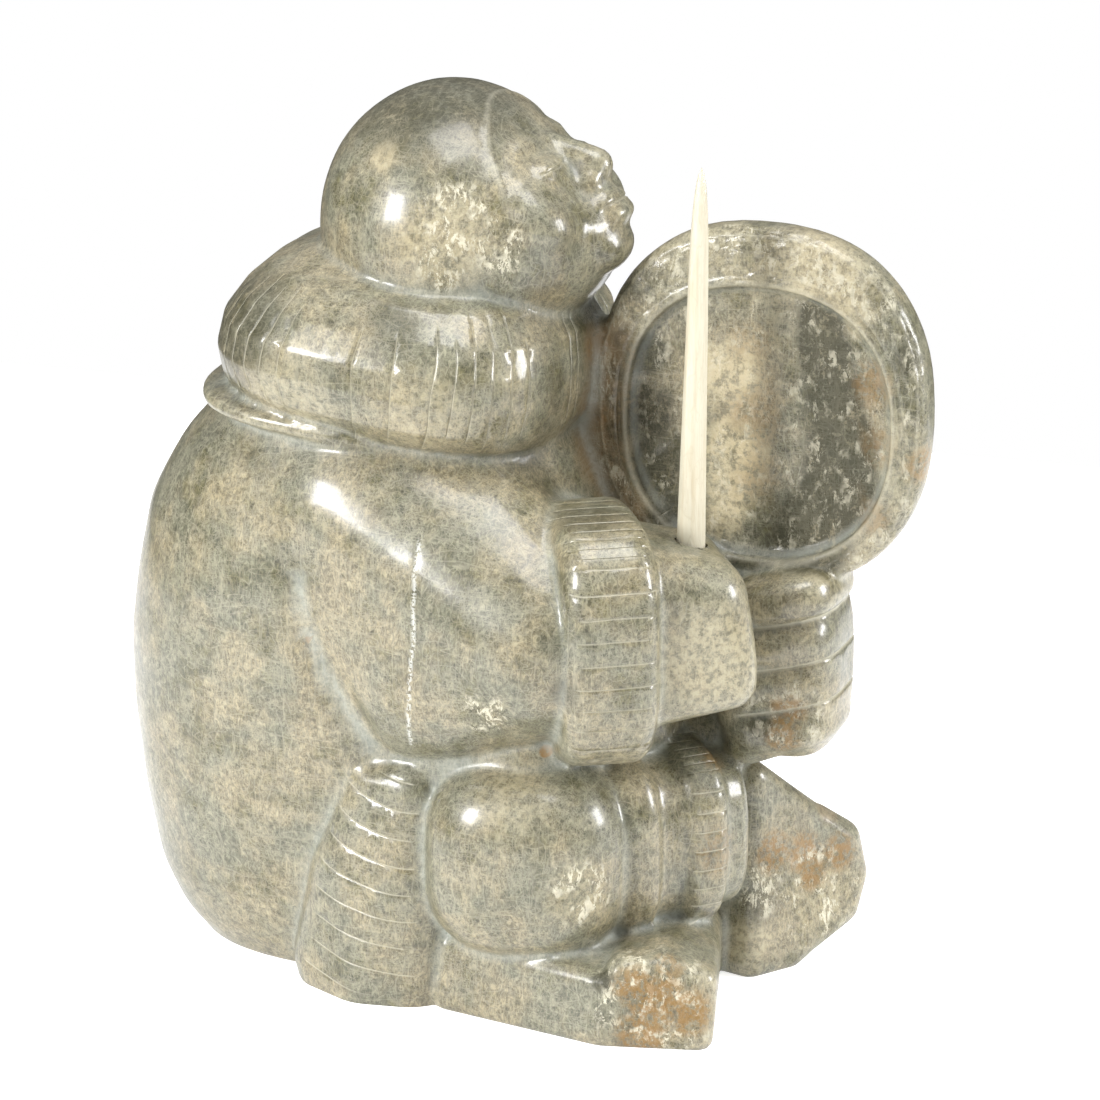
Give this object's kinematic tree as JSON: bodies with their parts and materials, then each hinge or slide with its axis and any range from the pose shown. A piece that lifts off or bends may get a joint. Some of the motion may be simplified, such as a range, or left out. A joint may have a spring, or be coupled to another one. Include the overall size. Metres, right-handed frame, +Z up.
{
  "type": "stone drummer sculpture",
  "caption": "Seated figure in a hooded parka carved from a block of grey-green stone, holding up a round drum in its fist, with a loose tapered beater standing in the mitten.",
  "frame": {"origin": "middle of the whole part's box at its underside, on the surface that it stands on", "axes": "+Z up; the figure faces -Y; its right side, with the beater, is -X, and its left side, behind the drum, is +X"},
  "size_m": [0.1815, 0.3169, 0.3451],
  "materials": {
    "green_stone": "satin",
    "pale_bone": "satin"
  },
  "bodies": {
    "root": {"stone_figure": "green_stone", "beater": "pale_bone"}
  },
  "joints": []
}
